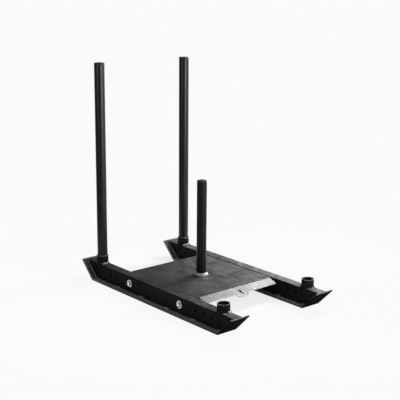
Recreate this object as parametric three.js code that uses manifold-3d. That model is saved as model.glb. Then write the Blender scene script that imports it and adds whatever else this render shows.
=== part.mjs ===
// Push sled: two turned-up skis under box rails, a folded deck bolted between the rails with a post
// for weight plates, four pole sockets, and two push poles that lift out of the rear sockets.
// Millimetres, +Z up, +X forward, +Y to the left. The origin is on the ground under the deck's middle.
import * as THREE from "three";
import { mergeGeometries, mergeVertices } from "three/addons/utils/BufferGeometryUtils.js";
import Module from "manifold-3d";

const wasm = await Module();
wasm.setup();

// Gaps that touching pieces keep, overruns of the cutting shapes, and facet counts.
const seatGap = 0.3;
const cutOverrun = 5;
const foldSteps = 4;
const cornerSteps = 3;
const roundFacets = 36;
const boreFacets = 16;

// Skis: flat bars with both ends turned up.
const skiSpacing = 530;
const skiWidth = 108;
const skiThickness = 8;
const skiFlatLength = 970;
const skiTurnUpLength = 126;
const skiTurnUpDegrees = 45;
const skiBendRadius = 10;

// Rails: rectangular tubes standing on the skis, cut to the slope of the turned-up ends.
const railWidth = 54;
const railHeight = 80;
const railWall = 3;
const railCornerRadius = 4;
const railInnerRadius = 1.5;
const railWeldLeg = 5;
const railWeldLength = 40;
const railWeldPitch = 193;
const railWeldCount = 4;

// Holes for accessories near each end of a rail, through both walls, counted from the socket's middle.
const accessoryHoleDiameter = 14;
const accessoryHoleInset = 49;
const accessoryHolePitch = 56;
const accessoryHoleCount = 3;
const accessoryHoleHeight = 46;

// Pole sockets: pipes let into the rails a little inside the bends of the skis, each with a floor that
// the pole stands on.
const socketDiameter = 59;
const socketBore = 52;
const socketInset = 22;
const socketRise = 43;
const socketFootHeight = 22;
const socketRimChamfer = 1;
const socketWeldLeg = 8;
const socketFloorThickness = 5;
const socketDrainDiameter = 12;

// Push poles: tubes with a moulded cap in each end.
const poleDiameter = 50.8;
const poleWall = 3;
const poleTopHeight = 1100;
const poleCapHead = 5;
const poleCapChamfer = 2;
const poleCapPlug = 20;

// Deck: one folded plate, with side flanges against the rails and a lip at each end.
const deckLength = 500;
const deckThickness = 5;
const deckProud = 0.7;
const deckFlangeDepth = 62;
const deckBendRadius = 3;
const lipDegrees = 20;
const lipLength = 47;
const lipInset = 14;
const lipCornerRadius = 4;
const lipFoldLap = 12;

// Tow tab at the middle of the front lip, with a slot for a strap or a hook.
const tabReach = 23;
const tabBaseWidth = 84;
const tabTipWidth = 46;
const tabCornerRadius = 11;
const slotStart = 22;
const slotLength = 37;
const slotWidth = 11;

// Channel welded across the underside of the deck, below the post.
const stiffenerWidth = 60;
const stiffenerDepth = 30;
const stiffenerThickness = 4;
const stiffenerBendRadius = 4;

// Post for the weight plates, with its collar and moulded cap.
const postDiameter = 48.3;
const postWall = 3.6;
const postTopHeight = 562;
const postCapHead = 7;
const postCapRadius = 5;
const postCapPlug = 18;
const collarDiameter = 70;
const collarHeight = 13;
const collarRim = 4;
const collarLand = 1;

// Deck bolts: a little inside the deck's bend lines, across each rail, through a sleeve, a rail wall on
// each side and the deck's flange.
const boltDiameter = 12;
const boltClearance = 1;
const boltInset = 58;
const boltHeight = 45;
const boltLength = 80;
const boltHeadFlats = 19;
const boltHeadHeight = 7.5;
const boltHeadChamfer = 1.2;
const nutHeight = 10.8;
const nutClearance = 0.3;
const washerDiameter = 37;
const washerThickness = 3;
const sleeveDiameter = 22;

// Heights and places worked out from the sizes above.
const railFoot = skiThickness + seatGap;
const railTop = railFoot + railHeight;
const deckTop = railTop + deckProud;
const deckHalfWidth = (skiSpacing - railWidth) / 2 - seatGap;
const socketTop = railTop + socketRise;
const socketOffset = skiFlatLength / 2 - socketInset;
const boltOffset = deckLength / 2 - boltInset;
const socketFloorTop = socketFootHeight + socketFloorThickness;
const weldBulgeShare = 0.62;
const weldEndShare = 0.4;
const slope = THREE.MathUtils.degToRad(skiTurnUpDegrees);
const lipTilt = THREE.MathUtils.degToRad(lipDegrees);
const ends = { front: 1, rear: -1 };
const sides = { left: 1, right: -1 };
const squareTurn = Math.PI / 2;

// Finishes: colour, roughness and metalness of each kind of piece.
const powderCoat = { color: 0x1d1d1f, roughness: 0.55, metalness: 0.1 };
const deckCoat = { color: 0x242426, roughness: 0.5, metalness: 0.1 };
const poleCoat = { color: 0x18181a, roughness: 0.45, metalness: 0.1 };
const zincPlate = { color: 0xb9b9b6, roughness: 0.35, metalness: 0.9 };
const blackPlastic = { color: 0x141415, roughness: 0.6, metalness: 0 };

// Merges shared corners, drops collapsed triangles and turns the faces outwards.
function closedMesh(geometry) {
  geometry.deleteAttribute("normal");
  geometry.deleteAttribute("uv");
  const merged = mergeVertices(geometry);
  const source = merged.index.array;
  const triangles = [];
  for (let i = 0; i < source.length; i += 3) {
    const [a, b, c] = source.slice(i, i + 3);
    if (a !== b && b !== c && c !== a) triangles.push([a, b, c]);
  }
  const corner = (n) => new THREE.Vector3().fromBufferAttribute(merged.attributes.position, n);
  const volume = triangles.reduce((sum, [a, b, c]) => sum + corner(a).dot(corner(b).cross(corner(c))), 0);
  merged.setIndex((volume < 0 ? triangles.map((t) => t.reverse()) : triangles).flat());
  return merged;
}

function toSolid(geometry) {
  const mesh = closedMesh(geometry);
  return new wasm.Manifold(new wasm.Mesh({
    numProp: 3,
    vertProperties: new Float32Array(mesh.attributes.position.array),
    triVerts: new Uint32Array(mesh.index.array),
  }));
}

function toGeometry(solid) {
  const { vertProperties, triVerts } = solid.getMesh();
  const geometry = new THREE.BufferGeometry();
  geometry.setAttribute("position", new THREE.BufferAttribute(vertProperties, 3));
  geometry.setIndex(new THREE.BufferAttribute(triVerts, 1));
  return geometry;
}

function extruded(shape, depth, curveSegments = cornerSteps) {
  return new THREE.ExtrudeGeometry(shape, { depth, bevelEnabled: false, curveSegments });
}

// Extrudes an outline drawn in X and Z across the sled, centred on Y = 0.
function acrossSled(shape, width) {
  return extruded(shape, width).translate(0, 0, -width / 2).rotateX(squareTurn);
}

// Extrudes an outline drawn in Y and Z along the sled, centred on X = 0.
function alongSled(shape, length) {
  const basis = new THREE.Matrix4().makeBasis(
    new THREE.Vector3(0, 1, 0), new THREE.Vector3(0, 0, 1), new THREE.Vector3(1, 0, 0));
  return extruded(shape, length).translate(0, 0, -length / 2).applyMatrix4(basis);
}

// Turns a profile of radius and height about the Z axis.
function turned(profile, facets = roundFacets) {
  const points = profile.map(([radius, height]) => new THREE.Vector2(radius, height));
  return new THREE.LatheGeometry(points, facets).rotateX(squareTurn);
}

function turnedRing(innerRadius, outerRadius, bottom, top, facets = roundFacets) {
  return turned([
    [innerRadius, bottom], [outerRadius, bottom],
    [outerRadius, top], [innerRadius, top],
    [innerRadius, bottom],
  ], facets);
}

// A round cutting bar across the sled.
function crossBore(diameter, length, x, y, z) {
  const bar = new THREE.CylinderGeometry(diameter / 2, diameter / 2, length, boreFacets);
  return toSolid(bar.translate(x, y, z));
}

// A polygon whose corners are rounded to the radius that each one carries.
function roundedOutline(corners) {
  const shape = new THREE.Shape();
  corners.forEach(([x, y, radius], i) => {
    const here = new THREE.Vector2(x, y);
    const towards = (other) => new THREE.Vector2(other[0], other[1]).sub(here).normalize();
    const before = towards(corners.at(i - 1));
    const after = towards(corners[(i + 1) % corners.length]);
    const half = Math.acos(THREE.MathUtils.clamp(before.dot(after), -1, 1)) / 2;
    const reach = radius / Math.tan(half);
    const start = here.clone().addScaledVector(before, reach);
    const end = here.clone().addScaledVector(after, reach);
    if (i === 0) shape.moveTo(start.x, start.y);
    else shape.lineTo(start.x, start.y);
    if (radius === 0) return;
    const inwards = before.clone().add(after).normalize();
    const centre = here.clone().addScaledVector(inwards, radius / Math.sin(half));
    const from = start.clone().sub(centre);
    const to = end.clone().sub(centre);
    shape.absarc(centre.x, centre.y, radius, from.angle(), to.angle(), from.cross(to) < 0);
  });
  shape.closePath();
  return shape;
}

function rectangleCorners(halfWidth, bottom, top, radius) {
  return [
    [-halfWidth, bottom, radius], [halfWidth, bottom, radius],
    [halfWidth, top, radius], [-halfWidth, top, radius],
  ];
}

// The two faces of a flat bar folded along a line of corners. The right face follows the corners, the
// left face lies a thickness away, and each fold is rounded about the inner side.
function foldedFaces(corners, thickness, insideRadius) {
  const line = corners.map(([x, y]) => new THREE.Vector2(x, y));
  const headings = line.slice(1).map((point, i) => point.clone().sub(line[i]).normalize());
  const leftOf = (heading) => new THREE.Vector2(-heading.y, heading.x);
  const faces = { right: [], left: [] };
  const addSpoke = (centre, spoke, rightReach, leftReach) => {
    faces.right.push(centre.clone().addScaledVector(spoke, rightReach));
    faces.left.push(centre.clone().addScaledVector(spoke, leftReach));
  };
  addSpoke(line[0], leftOf(headings[0]), 0, thickness);
  for (let i = 1; i < line.length - 1; i++) {
    const before = headings[i - 1];
    const bend = Math.atan2(before.cross(headings[i]), before.dot(headings[i]));
    const inwards = Math.sign(bend);
    const rightReach = inwards > 0 ? insideRadius + thickness : insideRadius;
    const leftReach = inwards > 0 ? insideRadius : insideRadius + thickness;
    const centre = line[i].clone()
      .addScaledVector(before, -rightReach * Math.tan(Math.abs(bend) / 2))
      .addScaledVector(leftOf(before), inwards * rightReach);
    for (let step = 0; step <= foldSteps; step++) {
      const spoke = leftOf(before).multiplyScalar(-inwards);
      spoke.rotateAround(new THREE.Vector2(), bend * step / foldSteps);
      addSpoke(centre, spoke, rightReach, leftReach);
    }
  }
  addSpoke(line.at(-1), leftOf(headings.at(-1)), 0, thickness);
  return faces;
}

function foldedBar(corners, thickness, insideRadius) {
  const { right, left } = foldedFaces(corners, thickness, insideRadius);
  return new THREE.Shape([...right, ...left.reverse()]);
}

// Joins equal rings of points into one closed skin with a flat end at each side.
function loft(rings) {
  const count = rings[0].length;
  const triangles = [];
  for (let r = 0; r < rings.length - 1; r++) {
    for (let i = 0; i < count; i++) {
      const [a, b] = [r * count + i, r * count + (i + 1) % count];
      triangles.push(a, b, b + count, a, b + count, a + count);
    }
  }
  const last = (rings.length - 1) * count;
  for (let i = 1; i < count - 1; i++) {
    triangles.push(0, i + 1, i, last, last + i, last + i + 1);
  }
  const geometry = new THREE.BufferGeometry().setFromPoints(rings.flat());
  geometry.setIndex(triangles);
  return geometry;
}

// The underside of a ski from its rear tip to its front tip, for a given length of turned-up end.
function skiUnderside(turnUp) {
  const halfFlat = skiFlatLength / 2;
  const run = turnUp * Math.cos(slope);
  const rise = turnUp * Math.sin(slope);
  return [[-halfFlat - run, rise], [-halfFlat, 0], [halfFlat, 0], [halfFlat + run, rise]];
}

function skiGeometry() {
  return acrossSled(foldedBar(skiUnderside(skiTurnUpLength), skiThickness, skiBendRadius), skiWidth);
}

// Length of turned-up end at which a face, a given height above the underside, reaches a level.
function turnUpTo(level, height) {
  return (level - height * Math.cos(slope)) / Math.sin(slope);
}

// Short fillet welds along the foot of a rail, on the face that looks towards outwards. Each bead bulges
// between its wall and its toe, tapers off at both ends and fills the rounding of the tube behind it.
function railWeldSolid(outwards) {
  const tip = weldEndShare * railWeldLeg;
  const half = railWeldLength / 2;
  const taper = half - railWeldLeg;
  const stations = [[-half, tip], [-taper, railWeldLeg], [taper, railWeldLeg], [half, tip]];
  const beads = [];
  for (let i = 0; i < railWeldCount; i++) {
    const middle = (i - (railWeldCount - 1) / 2) * railWeldPitch;
    beads.push(loft(stations.map(([x, leg]) => {
      const bulge = weldBulgeShare * leg;
      const section = [[-railWall, 0], [leg, 0], [bulge, bulge], [-seatGap, leg]];
      return section.map(([out, up]) =>
        new THREE.Vector3(middle + x, outwards * (railWidth / 2 + out), railFoot + up));
    })));
  }
  return toSolid(mergeGeometries(beads));
}

function railGeometry() {
  const tube = roundedOutline(rectangleCorners(railWidth / 2, railFoot, railTop, railCornerRadius));
  const bore = rectangleCorners(
    railWidth / 2 - railWall, railFoot + railWall, railTop - railWall, railInnerRadius);
  tube.holes.push(roundedOutline(bore));
  const blankLength = skiFlatLength + 2 * skiTurnUpLength;
  const slopeLine = skiUnderside(turnUpTo(railTop + cutOverrun, railFoot));
  const between = foldedFaces(slopeLine, railFoot, skiBendRadius - seatGap).left;
  let rail = toSolid(alongSled(tube, blankLength));
  rail = rail.intersect(toSolid(acrossSled(new THREE.Shape(between), railWidth + cutOverrun)));
  rail = rail.add(railWeldSolid(sides.left)).add(railWeldSolid(sides.right));
  for (const end of Object.values(ends)) {
    const pipe = new THREE.CylinderGeometry(
      socketDiameter / 2 + seatGap, socketDiameter / 2 + seatGap, socketTop - socketFootHeight, roundFacets);
    pipe.rotateX(squareTurn);
    pipe.translate(end * socketOffset, 0, (socketTop + socketFootHeight) / 2 - seatGap);
    rail = rail.subtract(toSolid(pipe));
    const bolt = boltDiameter + boltClearance;
    rail = rail.subtract(crossBore(bolt, railWidth + cutOverrun, end * boltOffset, 0, railFoot + boltHeight));
    for (let i = 0; i < accessoryHoleCount; i++) {
      const x = end * (socketOffset - accessoryHoleInset - i * accessoryHolePitch);
      const z = railFoot + accessoryHoleHeight;
      rail = rail.subtract(crossBore(accessoryHoleDiameter, railWidth + cutOverrun, x, 0, z));
    }
  }
  return toGeometry(rail);
}

function socketGeometry() {
  const [inner, outer] = [socketBore / 2, socketDiameter / 2];
  return turned([
    [inner, socketFootHeight], [outer, socketFootHeight],
    [outer, socketTop - socketRimChamfer], [outer - socketRimChamfer, socketTop],
    [inner + socketRimChamfer, socketTop], [inner, socketTop - socketRimChamfer],
    [inner, socketFootHeight],
  ]);
}

function socketFloorGeometry() {
  const outer = socketBore / 2 - seatGap;
  return turnedRing(socketDrainDiameter / 2, outer, socketFootHeight, socketFloorTop, boreFacets);
}

// Crescent of weld on the rail's top, on the side of the socket that looks towards end.
function socketWeldGeometry(end) {
  const root = socketDiameter / 2 + seatGap;
  const toe = root + socketWeldLeg;
  const foot = railTop + seatGap;
  const bead = turned([[root, foot], [toe, foot], [root, foot + socketWeldLeg], [root, foot]]);
  const window = new THREE.BoxGeometry(toe, railWidth - 2 * railCornerRadius, 2 * socketWeldLeg);
  window.translate(end * (toe / 2 + cutOverrun), 0, foot + socketWeldLeg);
  return toGeometry(toSolid(bead).intersect(toSolid(window)));
}

// The flat lip seen square to its face: distance from the fold against distance from the middle.
function lipOutline(withTab) {
  const half = deckHalfWidth - lipInset;
  const root = deckBendRadius * Math.tan(lipTilt / 2);
  const tip = lipLength + tabReach;
  const tab = [
    [lipLength, -tabBaseWidth / 2, tabCornerRadius], [tip, -tabTipWidth / 2, tabCornerRadius],
    [tip, tabTipWidth / 2, tabCornerRadius], [lipLength, tabBaseWidth / 2, tabCornerRadius],
  ];
  const outline = roundedOutline([
    [root, -half, 0], [lipLength, -half, lipCornerRadius],
    ...(withTab ? tab : []),
    [lipLength, half, lipCornerRadius], [root, half, 0],
  ]);
  if (withTab) {
    const slot = new THREE.Path();
    const reach = slotWidth / 2;
    slot.absarc(slotStart + reach, 0, reach, squareTurn, -squareTurn, false);
    slot.absarc(slotStart + slotLength - reach, 0, reach, -squareTurn, squareTurn, false);
    outline.holes.push(slot);
  }
  return outline;
}

// Folded edge and flat lip, joined as one plate that runs into the deck.
function lipSolid(withTab) {
  const fold = [deckLength / 2, deckTop];
  const foldLine = [
    [fold[0] + lipFoldLap * Math.cos(lipTilt), fold[1] - lipFoldLap * Math.sin(lipTilt)],
    fold,
    [fold[0] - lipFoldLap, fold[1]],
  ];
  const foldStrip = foldedBar(foldLine, deckThickness, deckBendRadius);
  const flat = extruded(lipOutline(withTab), deckThickness, boreFacets / 2);
  const down = new THREE.Vector3(Math.cos(lipTilt), 0, -Math.sin(lipTilt));
  const left = new THREE.Vector3(0, 1, 0);
  flat.translate(0, 0, -deckThickness);
  flat.applyMatrix4(new THREE.Matrix4().makeBasis(down, left, down.clone().cross(left)));
  flat.translate(fold[0], 0, fold[1]);
  const strip = toSolid(acrossSled(foldStrip, 2 * (deckHalfWidth - lipInset)));
  return strip.add(toSolid(flat));
}

function deckGeometry() {
  const flangeFoot = deckTop - deckFlangeDepth;
  const section = foldedBar([
    [deckHalfWidth, flangeFoot], [deckHalfWidth, deckTop],
    [-deckHalfWidth, deckTop], [-deckHalfWidth, flangeFoot],
  ], deckThickness, deckBendRadius);
  const foldReach = (deckBendRadius + deckThickness) * Math.tan(lipTilt / 2);
  let deck = toSolid(alongSled(section, deckLength - 2 * foldReach));
  deck = deck.add(lipSolid(true)).add(lipSolid(false).rotate([0, 0, 180]));
  for (const end of Object.values(ends)) {
    for (const side of Object.values(sides)) {
      const y = side * (deckHalfWidth - deckThickness / 2);
      const bore = boltDiameter + boltClearance;
      deck = deck.subtract(crossBore(bore, 2 * deckThickness, end * boltOffset, y, railFoot + boltHeight));
    }
  }
  return toGeometry(deck);
}

function stiffenerGeometry() {
  const top = deckTop - deckThickness - seatGap;
  const bottom = top - stiffenerDepth;
  const half = stiffenerWidth / 2;
  const section = foldedBar(
    [[-half, top], [-half, bottom], [half, bottom], [half, top]], stiffenerThickness, stiffenerBendRadius);
  return acrossSled(section, 2 * (deckHalfWidth - deckThickness - deckBendRadius - seatGap));
}

function postGeometry() {
  const outer = postDiameter / 2;
  const top = postTopHeight - postCapHead - seatGap;
  return turnedRing(outer - postWall, outer, deckTop + seatGap, top);
}

// Steel collar round the foot of the post: a short rim under a long cone.
function collarGeometry() {
  const inner = postDiameter / 2 + seatGap;
  const outer = collarDiameter / 2;
  const foot = deckTop + seatGap;
  return turned([
    [inner, foot], [outer, foot], [outer, foot + collarRim],
    [inner + collarLand, foot + collarHeight], [inner, foot + collarHeight], [inner, foot],
  ]);
}

// Moulded cap, drawn with the underside of its head at the origin and its plug pointing down.
function capGeometry(tubeDiameter, wall, plugLength, headProfile) {
  const plug = tubeDiameter / 2 - wall - seatGap;
  return turned([[0, -plugLength], [plug, -plugLength], [plug, 0], ...headProfile]);
}

function poleCapGeometry() {
  const outer = poleDiameter / 2;
  return capGeometry(poleDiameter, poleWall, poleCapPlug, [
    [outer, 0], [outer, poleCapHead - poleCapChamfer],
    [outer - poleCapChamfer, poleCapHead], [0, poleCapHead],
  ]);
}

function postCapGeometry() {
  const outer = postDiameter / 2;
  const edge = Array.from({ length: foldSteps + 1 }, (_, i) => {
    const angle = squareTurn * i / foldSteps;
    return [
      outer - postCapRadius * (1 - Math.cos(angle)),
      postCapHead - postCapRadius * (1 - Math.sin(angle)),
    ];
  });
  return capGeometry(postDiameter, postWall, postCapPlug, [[outer, 0], ...edge, [0, postCapHead]]);
}

function poleGeometry() {
  const outer = poleDiameter / 2;
  const foot = socketFloorTop + seatGap + poleCapHead + seatGap;
  return turnedRing(outer - poleWall, outer, foot, poleTopHeight - poleCapHead - seatGap);
}

// Six-sided prism on the Z axis with its outer corners chamfered at one or both ends.
function hexagon(flats, height, chamferBothEnds) {
  const across = flats / Math.cos(Math.PI / 6) / 2;
  const flat = flats / 2;
  const prism = new THREE.CylinderGeometry(across, across, height, 6);
  prism.rotateX(squareTurn).translate(0, 0, height / 2);
  const drop = boltHeadChamfer;
  const turnedBlank = turned([
    [0, 0], [chamferBothEnds ? flat : across + drop, 0], [across + drop, chamferBothEnds ? drop : 0],
    [across + drop, height - drop], [flat, height], [0, height],
  ], boreFacets);
  return toSolid(prism).intersect(toSolid(turnedBlank));
}

// Hexagon bolt with the underside of its head at the origin and its shank pointing down.
function boltGeometry() {
  const shank = new THREE.CylinderGeometry(boltDiameter / 2, boltDiameter / 2, boltLength, boreFacets);
  shank.rotateX(squareTurn).translate(0, 0, boltHeadChamfer - boltLength / 2);
  return toGeometry(hexagon(boltHeadFlats, boltHeadHeight, false).add(toSolid(shank)));
}

function nutGeometry() {
  const radius = boltDiameter / 2 + nutClearance;
  const bore = new THREE.CylinderGeometry(radius, radius, nutHeight + cutOverrun, boreFacets);
  bore.rotateX(squareTurn).translate(0, 0, nutHeight / 2);
  return toGeometry(hexagon(boltHeadFlats, nutHeight, true).subtract(toSolid(bore)));
}

function washerGeometry() {
  return turnedRing((boltDiameter + boltClearance) / 2, washerDiameter / 2, 0, washerThickness, boreFacets);
}

function sleeveGeometry() {
  const half = railWidth / 2 - railWall - seatGap;
  return turnedRing((boltDiameter + boltClearance) / 2, sleeveDiameter / 2, -half, half, boreFacets);
}

function piece(name, geometry, finish) {
  const material = new THREE.MeshStandardMaterial({ ...finish, flatShading: true });
  const mesh = new THREE.Mesh(closedMesh(geometry), material);
  mesh.name = name;
  return mesh;
}

// A bolt's hardware lies on a line across the rail, each piece a seat gap from the one before.
function deckBolt(label, side) {
  const stack = new THREE.Group();
  const outerFace = railWidth / 2 + seatGap;
  const innerFace = railWidth / 2 + 2 * seatGap + deckThickness;
  const underHead = outerFace + washerThickness + seatGap;
  const nutSeat = innerFace + washerThickness + seatGap;
  const places = [
    [`deck_bolt_${label}`, boltGeometry(), underHead],
    [`washer_outer_${label}`, washerGeometry(), outerFace],
    [`spacer_sleeve_${label}`, sleeveGeometry(), 0],
    [`washer_inner_${label}`, washerGeometry(), -innerFace - washerThickness],
    [`lock_nut_${label}`, nutGeometry(), -nutSeat - nutHeight],
  ];
  for (const [name, geometry, height] of places) {
    const part = piece(name, geometry, zincPlate);
    part.position.z = height;
    stack.add(part);
  }
  stack.rotation.x = -side * squareTurn;
  return stack;
}

// One side of the sled, drawn about the middle plane of its ski.
function runner(sideName) {
  const side = sides[sideName];
  const group = new THREE.Group();
  group.position.y = side * skiSpacing / 2;
  group.add(piece(`ski_${sideName}`, skiGeometry(), powderCoat));
  group.add(piece(`rail_${sideName}`, railGeometry(), powderCoat));
  for (const [endName, end] of Object.entries(ends)) {
    const label = `${endName}_${sideName}`;
    const socket = new THREE.Group();
    socket.position.x = end * socketOffset;
    socket.add(piece(`socket_${label}`, socketGeometry(), powderCoat));
    socket.add(piece(`socket_floor_${label}`, socketFloorGeometry(), powderCoat));
    socket.add(piece(`socket_weld_fore_${label}`, socketWeldGeometry(ends.front), powderCoat));
    socket.add(piece(`socket_weld_aft_${label}`, socketWeldGeometry(ends.rear), powderCoat));
    group.add(socket);
    const bolt = deckBolt(label, side);
    bolt.position.set(end * boltOffset, 0, railFoot + boltHeight);
    group.add(bolt);
  }
  const pole = new THREE.Group();
  pole.position.x = ends.rear * socketOffset;
  pole.add(piece(`push_pole_${sideName}`, poleGeometry(), poleCoat));
  const topCap = piece(`pole_top_cap_${sideName}`, poleCapGeometry(), blackPlastic);
  topCap.position.z = poleTopHeight - poleCapHead;
  const footCap = piece(`pole_foot_cap_${sideName}`, poleCapGeometry(), blackPlastic);
  footCap.rotation.x = Math.PI;
  footCap.position.z = socketFloorTop + seatGap + poleCapHead;
  pole.add(topCap, footCap);
  group.add(pole);
  return group;
}

function deckAssembly() {
  const group = new THREE.Group();
  group.add(piece("deck_plate", deckGeometry(), deckCoat));
  group.add(piece("deck_stiffener", stiffenerGeometry(), powderCoat));
  group.add(piece("plate_post", postGeometry(), poleCoat));
  group.add(piece("post_collar", collarGeometry(), powderCoat));
  const cap = piece("post_cap", postCapGeometry(), blackPlastic);
  cap.position.z = postTopHeight - postCapHead;
  group.add(cap);
  return group;
}

const sled = new THREE.Group();
sled.add(runner("left"), runner("right"), deckAssembly());

export default sled;
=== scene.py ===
"""Push sled: its looks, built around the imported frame.

Lengths are in metres, +X forward, +Y to the left, +Z up. Each node that shows is replaced by a finer piece
in the same place, worked out from the box of that node and from the named sizes below.
"""
import math

import bmesh
import bpy
from mathutils import Matrix, Vector


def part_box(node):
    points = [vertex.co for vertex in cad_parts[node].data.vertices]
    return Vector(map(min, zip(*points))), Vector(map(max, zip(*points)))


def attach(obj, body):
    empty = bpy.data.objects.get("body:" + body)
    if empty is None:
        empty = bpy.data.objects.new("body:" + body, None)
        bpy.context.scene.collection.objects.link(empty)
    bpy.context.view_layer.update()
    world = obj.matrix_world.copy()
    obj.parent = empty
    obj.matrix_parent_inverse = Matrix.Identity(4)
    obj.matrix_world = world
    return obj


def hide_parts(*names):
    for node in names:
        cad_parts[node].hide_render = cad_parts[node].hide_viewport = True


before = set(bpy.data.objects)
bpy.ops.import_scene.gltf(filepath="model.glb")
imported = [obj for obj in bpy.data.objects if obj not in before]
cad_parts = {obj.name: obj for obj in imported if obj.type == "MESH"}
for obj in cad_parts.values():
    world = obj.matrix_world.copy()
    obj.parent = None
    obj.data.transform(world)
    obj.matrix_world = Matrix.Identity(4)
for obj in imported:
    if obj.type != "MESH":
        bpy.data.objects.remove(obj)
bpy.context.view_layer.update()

MM = 0.001
SIDES = {"left": 1, "right": -1}
ENDS = {"front": 1, "rear": -1}

# How finely round shapes are made.
ROUND = 96
SMALL_ROUND = 48
BEND_STEPS = 12
CORNER_STEPS = 6
BEAD_STEPS = 8
SHARP_ANGLE = math.radians(38)
FLAT_ANGLE = math.radians(1)
SAME_POINT = 0.01 * MM

# Sizes that the boxes of the nodes don't give.
SEAT_GAP = 0.3 * MM
OVERRUN = 5 * MM
SKI_FLAT = 970 * MM
SKI_SLOPE = math.radians(45)
SKI_BEND = 10 * MM
RAIL_HALF_WIDTH = 27 * MM
RAIL_WALL = 3 * MM
RAIL_CORNER = 4 * MM
RAIL_BORE_CORNER = 1.5 * MM
HOLE_DIAMETER = 14 * MM
HOLE_INSET = 49 * MM
HOLE_PITCH = 56 * MM
HOLE_COUNT = 3
HOLE_HEIGHT = 46 * MM
RAIL_WELD_LEG = 5 * MM
RAIL_WELD_LENGTH = 40 * MM
RAIL_WELD_PITCH = 193 * MM
RAIL_WELD_COUNT = 4
END_WELD_LAP = 34 * MM
SOCKET_WALL = 3.5 * MM
SOCKET_WELD_LEG = 8 * MM
DRAIN_DIAMETER = 12 * MM
POLE_WALL = 3 * MM
POLE_CAP_HEAD = 5 * MM
POLE_CAP_CHAMFER = 2 * MM
DECK_LENGTH = 500 * MM
DECK_THICKNESS = 5 * MM
DECK_BEND = 3 * MM
LIP_TILT = math.radians(20)
LIP_LENGTH = 47 * MM
LIP_INSET = 14 * MM
LIP_CORNER = 4 * MM
TAB_REACH = 23 * MM
TAB_BASE = 84 * MM
TAB_TIP = 46 * MM
TAB_CORNER = 11 * MM
SLOT_START = 22 * MM
SLOT_LENGTH = 37 * MM
SLOT_WIDTH = 11 * MM
BOLT_BORE = 13 * MM
POST_WALL = 3.6 * MM
POST_CAP_RADIUS = 5 * MM
COLLAR_RIM = 4 * MM
COLLAR_LAND = 1 * MM
HEAD_CHAMFER = 1.2 * MM
SHANK_DIAMETER = 12 * MM
THREAD_PITCH = 1.75 * MM
THREAD_DEPTH = 0.95 * MM
THREAD_LENGTH = 30 * MM

# Small radii on edges.
PLATE_EDGE = 0.7 * MM
SKI_EDGE = 2.8 * MM
CUT_EDGE = 0.5 * MM
RIM_EDGE = 1.2 * MM
CAP_EDGE = 0.8 * MM

# Weld beads. A bead's ends, and the points of a crescent, are BEAD_END_SHARE as high as its middle.
BEAD_FULLNESS = 0.55
BEAD_END_SHARE = 0.4
CRESCENT_STOP = math.radians(1)
RIPPLE_PITCH = 2.2 * MM
RIPPLE_SHARE = 0.07
RIPPLE_CHEVRON = 0.4
STATIONS_PER_RIPPLE = 6

# Colours. A pair is a coat's deep and pale tone.
COAT_BLACK = ((0.0032, 0.0032, 0.003), (0.0055, 0.0055, 0.0051))
DECK_BLACK = ((0.005, 0.005, 0.0052), (0.011, 0.011, 0.0113))
POLE_BLACK = ((0.003, 0.003, 0.003), (0.0045, 0.0045, 0.0043))
WELD_BLACK = ((0.015, 0.015, 0.015), (0.028, 0.028, 0.0275))
# The collar is black powder coat; this grey is a painted highlight.
COLLAR_PAINTED_HIGHLIGHT = ((0.1, 0.1, 0.1), (0.16, 0.16, 0.158))
ZINC_TONES = ((0.82, 0.84, 0.86), (0.92, 0.9, 0.85))
PLASTIC_TONES = ((0.008, 0.008, 0.0085), (0.03, 0.03, 0.031))
# Dust. Where a coat's patches grow towards a side, it also serves as a painted highlight on that lit side.
DUST_AND_LIGHT = (0.3, 0.298, 0.29)
# The first is bare steel where the coat is worn, and a painted highlight on the deck's folds. The second is a
# painted highlight on the ski's rounded edges.
BARE_STEEL_AND_HIGHLIGHT = (0.3, 0.3, 0.3)
SKI_EDGE_HIGHLIGHT = (0.32, 0.32, 0.32)
CUT_STEEL = (0.5, 0.5, 0.5)

# Patterns of noise: how large their features are, their detail, and the span of the noise that they use.
TONE_DRIFT = (140 * MM, 3, (0.35, 0.65))
SPECKLE = (4 * MM, 3, (0.3, 0.7))
SHEEN_DRIFT = (60 * MM, 4, (0.3, 0.7))
DUST_PATCHES = (30 * MM, 5, (0.3, 0.75))
DUST_SMUDGES = (75 * MM, 4, (0.4, 0.6))
WEAR_PATCHES = (12 * MM, 4, (0.3, 0.65))
ZINC_DRIFT = (9 * MM, 3, (0.35, 0.65))
ZINC_SHEEN = (5 * MM, 4, (0.3, 0.7))
SCUFFS = (7 * MM, 5, (0.5, 0.75))

# Grains: how large their features are, their detail and how deep they are.
COAT_PEEL = (0.8 * MM, 2, 0.04 * MM)
DECK_PEEL = (0.8 * MM, 2, 0.012 * MM)
POLE_PEEL = (0.8 * MM, 2, 0.01 * MM)
ZINC_GRAIN = (0.5 * MM, 3, 0.02 * MM)
PLASTIC_GRAIN = (0.4 * MM, 2, 0.04 * MM)

# How strong the patterns are.
SPECKLE_SHARE = 0.3
SPECKLE_LIFT = 2
LEAST_SMUDGE = 0.45
DUST_AND_LIGHT_REACH = 0.25
SCUFF_SHARE = 0.5
ZINC_ROUGHNESS = (0.2, 0.38)
PLASTIC_ROUGHNESS = (0.5, 0.7)
PLASTIC_SPECULAR = 0.15

# Which faces are which, as spans of a part of their unit normals.
SOLE_FACES = (-0.9, -0.5)
EDGE_STARTS = (0.2, 0.4)
EDGE_ENDS = (0.9, 0.98)
EDGE_RISES = (0.05, 0.25)
CUT_FACES = (0.15, 0.3)

# Where wear and the painted edge highlights begin, and over what length.
REAR_HIGHLIGHT_RAMP = (-0.42, -0.34)
SKI_TIP_WEAR = 5 * MM
RIM_WEAR_STEP = 0.5 * MM

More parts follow.
